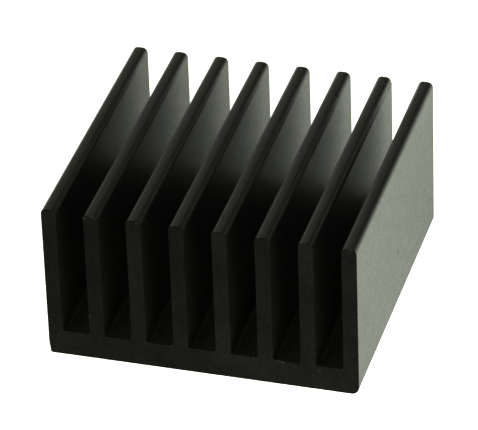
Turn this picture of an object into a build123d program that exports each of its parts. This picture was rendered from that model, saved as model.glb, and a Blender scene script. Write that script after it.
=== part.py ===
from build123d import *

import os

# A straight-fin heat sink, cut from one aluminium extrusion.
# X runs across the fins, Y along them, Z up. The origin is the middle of the underside.

# Sizes of the extruded section, in millimetres
fin_count = 8
fin_thickness = 1.35
fin_gap = 2.45
section_height = 15.0
base_thickness = 2.5

# Rounds that the die leaves along the section
tip_radius = 0.45
root_radius = 0.2
foot_radius = 0.6

# The sawn length, and the edge broken off at each sawn end
cut_length = 27.5
deburr_size = 0.04

fin_pitch = fin_thickness + fin_gap
section_width = fin_count * fin_thickness + (fin_count - 1) * fin_gap
fin_height = section_height - base_thickness


def make_section():
    """The comb that the die gives: a base plate with the fins standing on it."""
    with BuildSketch(Plane.XZ) as section:
        Rectangle(section_width, base_thickness, align=(Align.CENTER, Align.MIN))
        with Locations((0, base_thickness)):
            with GridLocations(fin_pitch, 0, fin_count, 1):
                Rectangle(fin_thickness, fin_height, align=(Align.CENTER, Align.MIN))
        levels = section.vertices().group_by(Axis.Y)
        fillet(levels[-1], tip_radius)
        fillet(levels[1], root_radius)
        fillet(levels[0], foot_radius)
    return section.sketch


def make_heat_sink():
    """The section pulled to the sawn length, with its two sawn ends deburred."""
    with BuildPart() as heat_sink:
        extrude(make_section(), cut_length / 2, both=True)
        sawn_ends = heat_sink.faces().filter_by(Axis.Y).group_by(Axis.Y)
        end_edges = sawn_ends[0].edges() + sawn_ends[-1].edges()
        chamfer(end_edges, deburr_size)
    heat_sink.part.label = "heat_sink"
    return heat_sink.part


os.makedirs("parts", exist_ok=True)
export_step(make_heat_sink(), "parts/heat_sink.step")
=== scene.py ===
from math import cos, pi, radians, sin, tan

import bmesh
import bpy
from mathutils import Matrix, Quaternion, Vector, noise


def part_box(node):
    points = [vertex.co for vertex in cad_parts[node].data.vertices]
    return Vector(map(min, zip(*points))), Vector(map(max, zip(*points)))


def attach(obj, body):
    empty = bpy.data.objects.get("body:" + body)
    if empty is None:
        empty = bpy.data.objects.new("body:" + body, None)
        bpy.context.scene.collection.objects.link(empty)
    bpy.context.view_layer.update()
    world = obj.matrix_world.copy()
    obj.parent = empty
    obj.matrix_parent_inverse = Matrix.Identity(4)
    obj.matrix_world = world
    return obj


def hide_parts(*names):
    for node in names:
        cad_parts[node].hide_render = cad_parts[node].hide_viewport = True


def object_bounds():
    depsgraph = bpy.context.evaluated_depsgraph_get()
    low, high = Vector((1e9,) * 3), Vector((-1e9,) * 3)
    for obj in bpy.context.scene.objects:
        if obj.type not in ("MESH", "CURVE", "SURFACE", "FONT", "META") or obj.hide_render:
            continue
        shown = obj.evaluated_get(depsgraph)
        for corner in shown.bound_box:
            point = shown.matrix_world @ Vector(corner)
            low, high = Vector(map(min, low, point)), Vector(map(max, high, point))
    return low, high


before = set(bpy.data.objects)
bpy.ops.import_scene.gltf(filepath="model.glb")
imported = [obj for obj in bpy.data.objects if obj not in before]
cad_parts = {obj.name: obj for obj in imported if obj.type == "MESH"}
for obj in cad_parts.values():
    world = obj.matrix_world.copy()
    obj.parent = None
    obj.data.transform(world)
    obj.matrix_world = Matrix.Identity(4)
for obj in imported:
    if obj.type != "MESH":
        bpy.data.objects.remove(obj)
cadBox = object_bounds()
mm = 0.001
print("frame loaded, CAD box", [round(side / mm, 2) for side in cadBox[1] - cadBox[0]], "mm")


def linear(hexColour):
    # sRGB hex to the linear RGBA that a shader socket wants
    channels = [int(hexColour[i:i + 2], 16) / 255 for i in (1, 3, 5)]
    return (*[c / 12.92 if c <= 0.04045 else ((c + 0.055) / 1.055) ** 2.4 for c in channels], 1)


def addNode(tree, kind, settings=None, links=None):
    # one node: its attributes by name, its sockets by name or number, and links from outputs, where a node
    # stands for its first output
    node = tree.nodes.new(kind)
    for name, value in (settings or {}).items():
        if isinstance(name, str) and hasattr(node, name):
            setattr(node, name, value)
        else:
            node.inputs[name].default_value = value
    for name, source in (links or {}).items():
        output = source.outputs[0] if isinstance(source, bpy.types.Node) else source
        tree.links.new(output, node.inputs[name])
    return node


# The heat sink's own mesh: the CAD node's section and length, with finer rounds and the small unevenness
# of a die and a saw, which the CAD node leaves out

heatSink = {
    "finCount": 8,
    "finThickness": 1.35 * mm,
    "finGap": 2.45 * mm,
    "baseThickness": 2.5 * mm,
    "leftTipRadius": 0.45 * mm,
    "rightTipRadius": 0.52 * mm,
    "tipSlope": 5,                # degrees that each half of a fin's tip falls from its middle
    "crownShare": 0.97,           # how much of the tip between its two rounds the crown's wide arc takes
    "rootRadius": 0.2 * mm,
    "rightFootRadius": 0.7 * mm,
    "leftFootRadius": 0.15 * mm,
    "leftFootInset": 0.14 * mm,   # the left wall falls in this far at its foot
    "leftFootHeight": 1.1 * mm,   # from this height down
    "leftFootBend": 2.5 * mm,
    "dieLineFin": 7,              # the one fin with a fine step along its right side, under the tip
    "dieLineDrop": 0.49 * mm,
    "dieLineHeight": 0.1 * mm,
    "dieLineDepth": 0.06 * mm,
    "dieLineBlend": 0.1 * mm,
    "dieLineTuck": 1.15,          # step depths by which the round over it is smaller
    "deburr": 0.045 * mm,         # how far a sawn end's edges are broken, on average
    "deburrRange": 0.6,           # and how much that varies along an edge
    "deburrWave": 0.35 * mm,
    "rippleTimes": 2.7,           # a ripple this many times finer rides on that wave
    "rippleShare": 0.6,
    "deburrSegments": 3,
    "roundSegments": 8,
    "shortestStep": 0.01 * mm,
    "longestStep": 0.2 * mm,
    "doubledStep": 0.002 * mm,    # points nearer than this are one point
}


def sectionCorners(p, low, high):
    # the comb's corners, each (x, z, radius), clockwise from the left foot as seen from the front; a fin's
    # crowned tip has a corner in its middle, whose wide arc stops just short of the round at its right
    pitch = p["finThickness"] + p["finGap"]
    half, slope = p["finThickness"] / 2, radians(p["tipSlope"])
    crownTangent = half / cos(slope) - p["rightTipRadius"] * tan((pi / 2 - slope) / 2)
    crownRadius = p["crownShare"] * crownTangent / tan(slope)
    crownTop = high.z + crownRadius * (1 / cos(slope) - 1)
    shoulder = crownTop - half * tan(slope)
    corners = [(low.x + p["leftFootInset"], low.z, p["leftFootRadius"]),
               (low.x, low.z + p["leftFootHeight"], p["leftFootBend"])]
    for n in range(p["finCount"]):
        left = low.x + n * pitch
        right = left + p["finThickness"]
        if n > 0:
            corners.append((left, p["baseThickness"], p["rootRadius"]))
        corners += [(left, shoulder, p["leftTipRadius"]), (left + half, crownTop, crownRadius)]
        if n == p["dieLineFin"] - 1:
            face, line, blend = right - p["dieLineDepth"], high.z - p["dieLineDrop"], p["dieLineBlend"]
            tuckedRadius = p["rightTipRadius"] - p["dieLineTuck"] * p["dieLineDepth"]
            corners += [(face, shoulder, tuckedRadius), (face, line, blend),
                        (right, line - p["dieLineHeight"], blend)]
        else:
            corners.append((right, shoulder, p["rightTipRadius"]))
        if n < p["finCount"] - 1:
            corners.append((right, p["baseThickness"], p["rootRadius"]))
    corners.append((high.x, low.z, p["rightFootRadius"]))
    return corners


def roundedOutline(corners, p):
    # each corner becomes an arc and each straight run short steps: pairs of a point and its outward normal
    outline = []
    places = [Vector((x, z)) for x, z, radius in corners]
    for n, place in enumerate(places):
        radius = corners[n][2]
        before = (places[n - 1] - place).normalized()
        after = (places[(n + 1) % len(places)] - place).normalized()
        halfTurn = (pi - before.angle(after)) / 2
        centre = place + (before + after).normalized() * radius / cos(halfTurn)
        start = place + before * radius * tan(halfTurn) - centre
        finish = place + after * radius * tan(halfTurn) - centre
        outward = 1 if before.x * after.y - before.y * after.x > 0 else -1
        steps = min(p["roundSegments"], max(2, round(2 * halfTurn * radius / p["shortestStep"])))
        arc = [start.slerp(finish, step / steps) for step in range(steps + 1)]
        outline.append([(centre + spoke * radius, spoke * outward) for spoke in arc])
    filled = []
    for arc, following in zip(outline, outline[1:] + outline[:1]):
        (end, normal), (target, _) = arc[-1], following[0]
        count = int((target - end).length / p["longestStep"])
        filled += arc + [(end.lerp(target, (step + 1) / (count + 1)), normal) for step in range(count)]
    strides = [(spot[0] - filled[n - 1][0]).length for n, spot in enumerate(filled)]
    return [spot for spot, stride in zip(filled, strides) if stride > p["doubledStep"]]


def deburrAt(place, p):
    # how far the edge is broken here: an average with a wave and a finer ripple
    wave = place / p["deburrWave"]
    wobble = noise.noise(wave) + p["rippleShare"] * noise.noise(wave * p["rippleTimes"])
    return p["deburr"] * (1 + p["deburrRange"] * max(-1, min(1, wobble)))


def makeHeatSink(p, low, high):
    outline = roundedOutline(sectionCorners(p, low, high), p)
    bm = bmesh.new()
    spot = bm.verts.layers.int.new("spot")    # a vertex's place in the outline, which extrusion hands on
    normals = {}

    def shapeRing(ring, share, end, inwards):
        # share 0 lies in the sawn end, and share 1 where its broken edge meets the extruded skin
        turn = share * pi / 2
        for vert in ring:
            point, normal = outline[vert[spot]]
            deburr = deburrAt(Vector((point.x, end, point.y)), p)
            place = point - normal * deburr * (1 - sin(turn))
            vert.co = (place.x, end + inwards * deburr * (1 - cos(turn)), place.y)
            normals[vert] = (normal.x * sin(turn), -inwards * cos(turn), normal.y * sin(turn))

    shares = [n / p["deburrSegments"] for n in range(p["deburrSegments"] + 1)]
    front = [(share, low.y, 1) for share in shares]
    back = [(share, high.y, -1) for share in reversed(shares)]
    ring = [bm.verts.new() for _ in outline]
    for n, vert in enumerate(ring):
        vert[spot] = n
    rim = edges = [bm.edges.new((ring[n - 1], ring[n])) for n in range(len(ring))]
    shapeRing(ring, *front[0])
    for station in front[1:] + back:
        made = bmesh.ops.extrude_edge_only(bm, edges=edges)["geom"]
        shapeRing([vert for vert in made if isinstance(vert, bmesh.types.BMVert)], *station)
        edges = [edge for edge in made if isinstance(edge, bmesh.types.BMEdge) and edge.is_boundary]
        for face in made:
            if isinstance(face, bmesh.types.BMFace):
                face.material_index = 0 if station is back[0] else 1
    for cap in (rim, edges):
        for face in bmesh.ops.triangle_fill(bm, use_beauty=True, edges=cap)["geom"]:
            if isinstance(face, bmesh.types.BMFace):
                face.material_index = 1
    bmesh.ops.recalc_face_normals(bm, faces=bm.faces)
    for face in bm.faces:
        face.smooth = True
    inOrder = [normals[vert] for vert in bm.verts]
    bm.verts.layers.int.remove(spot)
    mesh = bpy.data.meshes.new("anodised_heat_sink")
    bm.to_mesh(mesh)
    bm.free()
    mesh.normals_split_custom_set_from_vertices(inOrder)
    piece = bpy.data.objects.new("anodised_heat_sink", mesh)
    bpy.context.scene.collection.objects.link(piece)
    return piece


heatSinkPiece = makeHeatSink(heatSink, *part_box("heat_sink"))
print("heat sink modelled,", len(heatSinkPiece.data.polygons), "faces")


# Marks of handling that go through the dye: each is an ellipsoid about a point of the surface, with a
# ragged edge. Bare ones show aluminium, and pits are small dark hollows

marks = {
    "ragged": 0.05 * mm,
    "raggedStep": 0.08 * mm,
    "softEdge": 0.15,             # share of a mark's half size over which it fades, each way
    "frontDepth": 0.15,           # how deep the marks of the front end go, in mm
    "skinDepth": 0.2,             # and those of the tips and the side
    # x and z on the front end, half length and half width in mm, and turn in degrees
    "bareAtFront": [
        (-12.79, 14.58, 0.06, 0.05, 0), (-10.09, 14.62, 0.12, 0.1, 0), (-9.36, 14.88, 0.36, 0.05, 15),
        (-5.38, 14.82, 0.14, 0.05, 20), (6.36, 14.64, 0.06, 0.06, 0), (13.44, 14.92, 0.12, 0.04, 5),
        (-10.1, 4.4, 0.09, 0.08, 0), (-2.69, 2.5, 0.07, 0.05, 0), (2.56, 4.12, 0.1, 0.09, 0),
        (4.66, 2.36, 0.06, 0.05, 0), (6.9, 2.42, 0.36, 0.023, 13), (7.26, 2.33, 0.09, 0.07, 0),
        (8.39, 2.01, 0.06, 0.05, 0), (10.46, 2.03, 0.05, 0.04, 0), (10, 1.43, 0.05, 0.04, 0)],
    # x and y on the fin tips, half length, half width and turn
    "bareOnTips": [(-1.91, 8.3, 0.34, 0.08, 60)],
    "pitsOnTips": [(6.14, 9.69, 0.24, 0.18, 0), (1.59, -11.27, 0.17, 0.11, 0), (9.8, -10.04, 0.19, 0.13, 0)],
    # y and z on the right side
    "pitsOnSide": [(0.15, 5.65, 0.22, 0.09, 60), (10.12, 3.1, 0.12, 0.06, 0)],
}
bareMetal = {"colour": "#2e2d2b", "roughness": 0.5}


def markMask(tree, place, p, spots):
    # 1 inside a mark and 0 outside; each spot is a centre, three half sizes and three turns
    grit = addNode(tree, "ShaderNodeTexNoise", {"Scale": 1 / p["raggedStep"], "Detail": 2}, {"Vector": place})
    centred = addNode(tree, "ShaderNodeVectorMath", {"operation": "SUBTRACT", 1: (0.5, 0.5, 0.5)},
                      {0: grit.outputs["Color"]})
    ragged = addNode(tree, "ShaderNodeVectorMath", {"operation": "MULTIPLY_ADD", 1: [p["ragged"]] * 3},
                     {0: centred, 2: place})
    mask = None
    for centre, sizes, turns in spots:
        local = addNode(tree, "ShaderNodeMapping", {
            "vector_type": "TEXTURE", "Location": [c * mm for c in centre], "Scale": [s * mm for s in sizes],
            "Rotation": [radians(turn) for turn in turns]}, {"Vector": ragged})
        away = addNode(tree, "ShaderNodeVectorMath", {"operation": "LENGTH"}, {0: local})
        inside = addNode(tree, "ShaderNodeMapRange", {
            "From Min": 1 + p["softEdge"], "From Max": 1 - p["softEdge"]}, {"Value": away.outputs["Value"]})
        mask = inside if mask is None else addNode(tree, "ShaderNodeMath", {"operation": "MAXIMUM"},
                                                   {0: mask, 1: inside})
    return mask.outputs[0]


def tipSpots(p, rows, high):
    return [((x, y, high.z / mm), (length, width, p["skinDepth"]), (0, 0, turn))
            for x, y, length, width, turn in rows]


def bareSpots(p, low, high):
    front = [((x, low.y / mm, z), (length, p["frontDepth"], width), (0, turn, 0))
             for x, z, length, width, turn in p["bareAtFront"]]
    return front + tipSpots(p, p["bareOnTips"], high)


def pitSpots(p, high):
    side = [((high.x / mm, y, z), (p["skinDepth"], length, width), (turn, 0, 0))
            for y, z, length, width, turn in p["pitsOnSide"]]
    return tipSpots(p, p["pitsOnTips"], high) + side


# Black anodised aluminium as the die leaves it: a smooth glassy oxide over fine draw lines and the fine
# orange peel of the etch, so it is near black face on and silvery grey where it is seen at a low angle

extrudedSkin = {
    "dye": "#050505",
    "slotPaintedFill": "#2b2c26",         # painted fill light: a paler colour low in the slots, which lightens their shade
    "slotDepth": 12 * mm,
    "slotEndShare": 0.12,         # how much of the painted fill shows at a slot's open ends
    "slotEndReach": 8 * mm,
    "roughness": 0.5,
    "roughnessRange": 0.05,
    "peelRoughness": 0.41,
    "ior": 1.38,
    "peelStep": 0.1 * mm,         # the etched grain is finer on the real part, and would not show
    "peelDepth": 0.007 * mm,
    "cloudStep": 0.6 * mm,
    "cloudSpread": 0.25,          # noise this far from its middle gives the roughness its ends
    "stretch": 3.2,               # the grain is drawn out along the extrusion
    "drawLineStep": 0.09 * mm,
    "drawLineLength": 7 * mm,
    "drawLineDepth": 0.0007 * mm,
    "pitDepth": 0.05 * mm,
    "rootHighlight": "#434340",        # a painted highlight along the root of each right face
    "rootHighlightPlace": 0.31 * mm,
    "rootHighlightWidth": 0.14 * mm,
    "rootHighlightFade": 1.6 * mm,     # it fades out towards a slot's open ends
}


def makeExtrudedSkin(p, sink, handling, low, high):
    material = bpy.data.materials.new("blackAnodisedExtrusion")
    material.use_nodes = True
    tree = material.node_tree
    shader = tree.nodes["Principled BSDF"]
    place = addNode(tree, "ShaderNodeTexCoord").outputs["Object"]
    stretched = addNode(tree, "ShaderNodeMapping", {"Scale": (1, 1 / p["stretch"], 1)}, {"Vector": place})
    peel = addNode(tree, "ShaderNodeTexNoise", {"Scale": 1 / p["peelStep"], "Detail": 4, "Roughness": 0.6},
                   {"Vector": stretched}).outputs[0]
    clouds = addNode(tree, "ShaderNodeTexNoise", {
        "Scale": 1 / p["cloudStep"], "Detail": 5, "Roughness": 0.65}, {"Vector": stretched}).outputs[0]
    drawn = addNode(tree, "ShaderNodeMapping", {
        "Scale": (1 / p["drawLineStep"], 1 / p["drawLineLength"], 1 / p["drawLineStep"])}, {"Vector": place})
    lines = addNode(tree, "ShaderNodeTexNoise", {"Scale": 1, "Detail": 2}, {"Vector": drawn}).outputs[0]
    bare = markMask(tree, place, handling, bareSpots(handling, low, high))
    pits = markMask(tree, place, handling, pitSpots(handling, high))

    # the painted highlight along the root: a narrow band beside every fin's right face, at the level of the
    # slot floors
    split = addNode(tree, "ShaderNodeSeparateXYZ", links={0: place})
    pitch = sink["finThickness"] + sink["finGap"]
    across = addNode(tree, "ShaderNodeMath", {"operation": "SUBTRACT", 1: low.x}, {0: split.outputs["X"]})
    within = addNode(tree, "ShaderNodeMath", {"operation": "MODULO", 1: pitch}, {0: across})
    beside = addNode(tree, "ShaderNodeMath", {
        "operation": "COMPARE", 1: sink["finThickness"] + p["rootHighlightPlace"], 2: p["rootHighlightWidth"] / 2},
        {0: within})
    level = addNode(tree, "ShaderNodeMath", {
        "operation": "COMPARE", 1: sink["baseThickness"], 2: sink["rootRadius"]}, {0: split.outputs["Z"]})
    rootHighlightBand = addNode(tree, "ShaderNodeMath", {"operation": "MULTIPLY"}, {0: beside, 1: level})
    toEnd = addNode(tree, "ShaderNodeMath", {"operation": "ABSOLUTE"}, {0: split.outputs["Y"]})
    fade = addNode(tree, "ShaderNodeMapRange", {
        "From Min": high.y, "From Max": high.y - p["rootHighlightFade"]}, {"Value": toEnd})
    faded = addNode(tree, "ShaderNodeMath", {"operation": "MULTIPLY"}, {0: rootHighlightBand, 1: fade})
    broken = addNode(tree, "ShaderNodeMath", {"operation": "MULTIPLY"}, {0: faded, 1: clouds})

    # painted fill light: a paler colour between the outer walls, low in the slots and away from their open
    # ends, which lightens the shade there
    between = addNode(tree, "ShaderNodeMath", {
        "operation": "COMPARE", 1: 0, 2: high.x - sink["finThickness"] / 2}, {0: split.outputs["X"]})
    depth = addNode(tree, "ShaderNodeMapRange", {
        "From Min": sink["baseThickness"] + p["slotDepth"], "From Max": sink["baseThickness"]},
        {"Value": split.outputs["Z"]})
    inside = addNode(tree, "ShaderNodeMapRange", {
        "From Min": high.y, "From Max": high.y - p["slotEndReach"], "To Min": p["slotEndShare"]},
        {"Value": toEnd})
    fillDeepInSlots = addNode(tree, "ShaderNodeMath", {"operation": "MULTIPLY"}, {0: inside, 1: depth})
    paintedFill = addNode(tree, "ShaderNodeMath", {"operation": "MULTIPLY"}, {0: between, 1: fillDeepInSlots})
    # the dye, lightened by the painted fill light low in the slots
    dyed = addNode(tree, "ShaderNodeMix", {
        "data_type": "RGBA", 6: linear(p["dye"]), 7: linear(p["slotPaintedFill"])}, {0: paintedFill})
    # mix in the painted highlight along the fin roots
    highlighted = addNode(tree, "ShaderNodeMix", {"data_type": "RGBA", 7: linear(p["rootHighlight"])},
                       {0: broken, 6: dyed.outputs[2]})
    colour = addNode(tree, "ShaderNodeMix", {"data_type": "RGBA", 7: linear(bareMetal["colour"])},
                     {0: bare, 6: highlighted.outputs[2]})
    clouded = addNode(tree, "ShaderNodeMapRange", {
        "From Min": 0.5 - p["cloudSpread"], "From Max": 0.5 + p["cloudSpread"],
        "To Min": p["roughness"] - p["roughnessRange"] / 2,
        "To Max": p["roughness"] + p["roughnessRange"] / 2}, {"Value": clouds})
    peeled = addNode(tree, "ShaderNodeMath", {"operation": "SUBTRACT", 1: 0.5}, {0: peel})
    uneven = addNode(tree, "ShaderNodeMath", {"operation": "MULTIPLY_ADD", 1: p["peelRoughness"]},
                     {0: peeled, 2: clouded})
    gloss = addNode(tree, "ShaderNodeMath", {"operation": "MAXIMUM"}, {0: uneven, 1: pits})
    fine = addNode(tree, "ShaderNodeBump", {"Distance": p["peelDepth"]}, {"Height": peel})
    long = addNode(tree, "ShaderNodeBump", {"Distance": p["drawLineDepth"]},
                   {"Height": lines, "Normal": fine})
    hollow = addNode(tree, "ShaderNodeBump", {"Distance": p["pitDepth"], "invert": True},
                     {"Height": pits, "Normal": long})
    shader.inputs["IOR"].default_value = p["ior"]
    looks = {"Base Color": colour.outputs[2], "Metallic": bare, "Roughness": gloss.outputs[0],
             "Normal": hollow.outputs[0]}
    for socket, output in looks.items():
        tree.links.new(output, shader.inputs[socket])
    return material


# The sawn ends: the blade leaves a fine matt surface with faint level marks, which holds more dye and
# shines less

sawnEnd = {
    "dye": "#030303",
    "paleDye": "#151514",
    "paleStep": 5 * mm,
    "grainWeight": 2,             # how much more the patches follow the grain than their own noise
    "patchFrom": 1.2,             # where in the sum of both the paler dye begins
    "patchTo": 2.0,               # and where it is full
    "roughness": 0.75,
    "ior": 1.12,
    "sawMarkStep": 0.12 * mm,
    "sawMarkLength": 2.5 * mm,
    "sawMarkTurn": 3,
    "sawMarkDepth": 0.004 * mm,
    "grainStep": 0.12 * mm,
    "grainDepth": 0.024 * mm,
}


def makeSawnEnd(p, handling, low, high):
    material = bpy.data.materials.new("blackAnodisedSawnEnd")
    material.use_nodes = True
    tree = material.node_tree
    shader = tree.nodes["Principled BSDF"]
    place = addNode(tree, "ShaderNodeTexCoord").outputs["Object"]
    grain = addNode(tree, "ShaderNodeTexNoise", {"Scale": 1 / p["grainStep"], "Detail": 4, "Roughness": 0.65},
                    {"Vector": place}).outputs[0]
    pale = addNode(tree, "ShaderNodeTexNoise", {"Scale": 1 / p["paleStep"], "Detail": 5, "Roughness": 0.6},
                   {"Vector": place}).outputs[0]
    sawn = addNode(tree, "ShaderNodeMapping", {
        "Rotation": (0, radians(p["sawMarkTurn"]), 0),
        "Scale": (1 / p["sawMarkLength"], 1 / p["sawMarkLength"], 1 / p["sawMarkStep"])}, {"Vector": place})
    cuts = addNode(tree, "ShaderNodeTexNoise", {"Scale": 1, "Detail": 3, "Roughness": 0.6},
                   {"Vector": sawn}).outputs[0]
    bare = markMask(tree, place, handling, bareSpots(handling, low, high))
    patchy = addNode(tree, "ShaderNodeMath", {"operation": "MULTIPLY_ADD", 1: p["grainWeight"]},
                     {0: grain, 2: pale})
    patch = addNode(tree, "ShaderNodeMapRange", {"From Min": p["patchFrom"], "From Max": p["patchTo"]},
                    {"Value": patchy})
    dyed = addNode(tree, "ShaderNodeMix", {
        "data_type": "RGBA", 6: linear(p["dye"]), 7: linear(p["paleDye"])}, {0: patch})
    colour = addNode(tree, "ShaderNodeMix", {"data_type": "RGBA", 7: linear(bareMetal["colour"])},
                     {0: bare, 6: dyed.outputs[2]})
    gloss = addNode(tree, "ShaderNodeMapRange", {
        "To Min": p["roughness"], "To Max": bareMetal["roughness"]}, {"Value": bare})
    scored = addNode(tree, "ShaderNodeBump", {"Distance": p["sawMarkDepth"]}, {"Height": cuts})
    fine = addNode(tree, "ShaderNodeBump", {"Distance": p["grainDepth"]},
                   {"Height": grain, "Normal": scored})
    shader.inputs["IOR"].default_value = p["ior"]
    looks = {"Base Color": colour.outputs[2], "Metallic": bare, "Roughness": gloss.outputs[0],
             "Normal": fine.outputs[0]}
    for socket, output in looks.items():
        tree.links.new(output, shader.inputs[socket])
    return material


heatSinkPiece.data.materials.append(makeExtrudedSkin(extrudedSkin, heatSink, marks, *cadBox))
heatSinkPiece.data.materials.append(makeSawnEnd(sawnEnd, marks, *cadBox))
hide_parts("heat_sink")
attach(heatSinkPiece, "root")
print("materials assigned")


# A white light table in a dim room, as for a cut-out product picture: the table glows most beyond the
# part's right and back and has a painted shadow of the part close behind it, the room gives light from low
# down and from a window on its front left, and one soft lamp hangs behind

studio = {
    "tint": "#f8ffec",            # the lamps' faint green, which every reflection in the photograph has
    "tableSize": 4.0,
    "tableDrop": 0.01 * mm,
    "dimGlow": 1.2,
    "brightGlow": 3.47,
    "tableTurn": 30,              # the heading along which the glow grows, from the part's right to its back
    "tableReach": 66 * mm,
    "shade": 1.26,                # how much less glow behind the part: a painted shadow of it
    "shadeCentre": (0, 33 * mm, 0),
    "shadeReach": 50 * mm,
    "roomGlow": 0.08,
    "horizonGlow": 2.35,
    "horizonHeight": 0.2,
    "windowGlow": 2.0,
    "windowTurn": 225,            # degrees clockwise from straight behind the part, seen from above
    "lampWidth": 200 * mm,
    "lampTurn": -17,              # counted as the window's turn is
    "lampDistance": 300 * mm,
    "lampHeight": 100 * mm,
    "lampWatts": 0.0645,
}


def makeTable(p):
    bm = bmesh.new()
    bmesh.ops.create_grid(bm, x_segments=1, y_segments=1, size=p["tableSize"] / 2)
    bmesh.ops.translate(bm, vec=(0, 0, -p["tableDrop"]), verts=bm.verts)
    mesh = bpy.data.meshes.new("light_table")
    bm.to_mesh(mesh)
    bm.free()
    table = bpy.data.objects.new("light_table", mesh)
    bpy.context.scene.collection.objects.link(table)
    material = bpy.data.materials.new("whiteAcrylicTable")
    material.use_nodes = True
    tree = material.node_tree
    shader = tree.nodes["Principled BSDF"]
    shader.inputs["Base Color"].default_value = linear("#000000")
    shader.inputs["Roughness"].default_value = 1
    shader.inputs["Specular IOR Level"].default_value = 0
    shader.inputs["Emission Color"].default_value = linear(p["tint"])
    place = addNode(tree, "ShaderNodeTexCoord").outputs["Object"]
    heading = (cos(radians(p["tableTurn"])), sin(radians(p["tableTurn"])), 0)
    along = addNode(tree, "ShaderNodeVectorMath", {"operation": "DOT_PRODUCT", 1: heading}, {0: place})
    glow = addNode(tree, "ShaderNodeMapRange", {
        "interpolation_type": "SMOOTHSTEP", "From Min": -p["tableReach"], "From Max": p["tableReach"],
        "To Min": p["dimGlow"], "To Max": p["brightGlow"]}, {"Value": along.outputs["Value"]})
    fromShade = addNode(tree, "ShaderNodeVectorMath", {"operation": "DISTANCE", 1: p["shadeCentre"]},
                        {0: place})
    # the painted shadow of the part, taken out of the table's glow
    shade = addNode(tree, "ShaderNodeMapRange", {
        "interpolation_type": "SMOOTHERSTEP", "From Min": 0, "From Max": p["shadeReach"],
        "To Min": p["shade"], "To Max": 0}, {"Value": fromShade.outputs["Value"]})
    left = addNode(tree, "ShaderNodeMath", {"operation": "SUBTRACT"}, {0: glow, 1: shade})
    tree.links.new(left.outputs[0], shader.inputs["Emission Strength"])
    mesh.materials.append(material)


def lightRoom(p):
    world = bpy.data.worlds.new("dimRoom")
    world.use_nodes = True
    tree = world.node_tree
    background = tree.nodes["Background"]
    background.inputs["Color"].default_value = linear(p["tint"])
    towards = addNode(tree, "ShaderNodeTexCoord").outputs["Generated"]
    height = addNode(tree, "ShaderNodeSeparateXYZ", links={0: towards}).outputs["Z"]
    horizon = addNode(tree, "ShaderNodeMapRange", {
        "From Min": 0, "From Max": p["horizonHeight"], "To Min": p["roomGlow"] + p["horizonGlow"],
        "To Max": p["roomGlow"]}, {"Value": height})
    turn = radians(p["windowTurn"])
    toWindow = addNode(tree, "ShaderNodeVectorMath", {
        "operation": "DOT_PRODUCT", 1: (sin(turn), cos(turn), 0)}, {0: towards})
    window = addNode(tree, "ShaderNodeMapRange", {"To Max": p["windowGlow"]},
                     {"Value": toWindow.outputs["Value"]})
    total = addNode(tree, "ShaderNodeMath", {"operation": "ADD"}, {0: horizon, 1: window})
    tree.links.new(total.outputs[0], background.inputs["Strength"])
    bpy.context.scene.world = world


def hangLamp(p):
    light = bpy.data.lights.new("softLamp", "AREA")
    light.shape = "DISK"
    light.size = p["lampWidth"]
    light.energy = p["lampWatts"]
    light.color = linear(p["tint"])[:3]
    lamp = bpy.data.objects.new("softLamp", light)
    turn = radians(p["lampTurn"])
    lamp.location = Vector((sin(turn) * p["lampDistance"], cos(turn) * p["lampDistance"], p["lampHeight"]))
    lamp.rotation_mode = "QUATERNION"
    lamp.rotation_quaternion = (-lamp.location).to_track_quat("-Z", "Y")
    lamp.visible_camera = False
    bpy.context.scene.collection.objects.link(lamp)


makeTable(studio)
lightRoom(studio)
hangLamp(studio)
bpy.context.scene.view_settings.view_transform = "Standard"
print("studio lit")


# The camera: found from the straight edges of the photograph, in its own 478 by 430 frame

camera = {
    "distance": 377.6 * mm,
    "azimuth": 16.867,
    "elevation": 33.528,
    "roll": -2.075,
    "aim": Vector((-0.371, -0.060, 7.576)) * mm,
    "focalPixels": 4274.3,
    "frameWidth": 478,
    "sensorWidth": 36,            # in millimetres, as Blender has it
    "nearClip": 10 * mm,
    "farClip": 10,
}


def makeCamera(p):
    data = bpy.data.cameras.new("camera")
    data.sensor_width = p["sensorWidth"]
    data.lens = p["focalPixels"] * p["sensorWidth"] / p["frameWidth"]
    data.clip_start, data.clip_end = p["nearClip"], p["farClip"]
    shot = bpy.data.objects.new("camera", data)
    bpy.context.scene.collection.objects.link(shot)
    turn, lift = radians(p["azimuth"]), radians(p["elevation"])
    back = Vector((sin(turn) * cos(lift), -cos(turn) * cos(lift), sin(lift)))
    shot.location = p["aim"] + back * p["distance"]
    shot.rotation_mode = "QUATERNION"
    shot.rotation_quaternion = (-back).to_track_quat("-Z", "Y") @ Quaternion((0, 0, 1), radians(p["roll"]))
    bpy.context.scene.camera = shot


makeCamera(camera)
print("camera placed")
